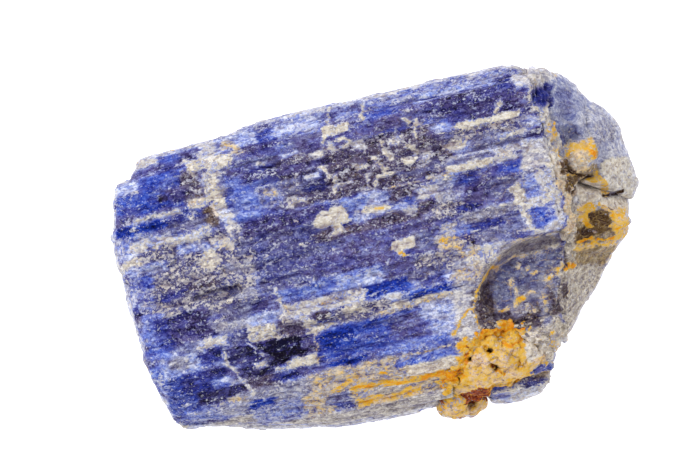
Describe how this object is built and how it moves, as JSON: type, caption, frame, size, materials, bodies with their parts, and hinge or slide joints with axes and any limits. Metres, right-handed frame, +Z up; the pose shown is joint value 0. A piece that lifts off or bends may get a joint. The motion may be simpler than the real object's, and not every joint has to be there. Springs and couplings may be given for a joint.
{
  "type": "sapphire crystal cluster",
  "caption": "Rough blue sapphire specimen: a striated block of parallel crystals lying flat, with a grey-blue crystal on its end and iron-stained rock in a corner.",
  "frame": {"origin": "centre of the specimen's footprint box, on the flat cleavage it rests on", "axes": "+X along the crystals, from the broken end towards the end crystal; +Y across the broad face towards its back edge; +Z up from the resting face"},
  "size_m": [0.0624, 0.0398, 0.0215],
  "materials": {
    "blue_sapphire": "opaque deep blue with violet bands, pale flecks and worn edges, waxy",
    "grey_sapphire": "cloudy grey-blue with ochre films in its cracks, waxy",
    "violet_sapphire": "cloudy blue-violet with a pale worn rim, waxy",
    "iron_stained_rock": "grainy cream rock with ochre and rust stains, dull"
  },
  "bodies": {
    "root": {"blue_crystal_block": "blue_sapphire", "end_crystal": "grey_sapphire", "lower_crystal": "violet_sapphire", "matrix_rock": "iron_stained_rock"}
  },
  "joints": []
}
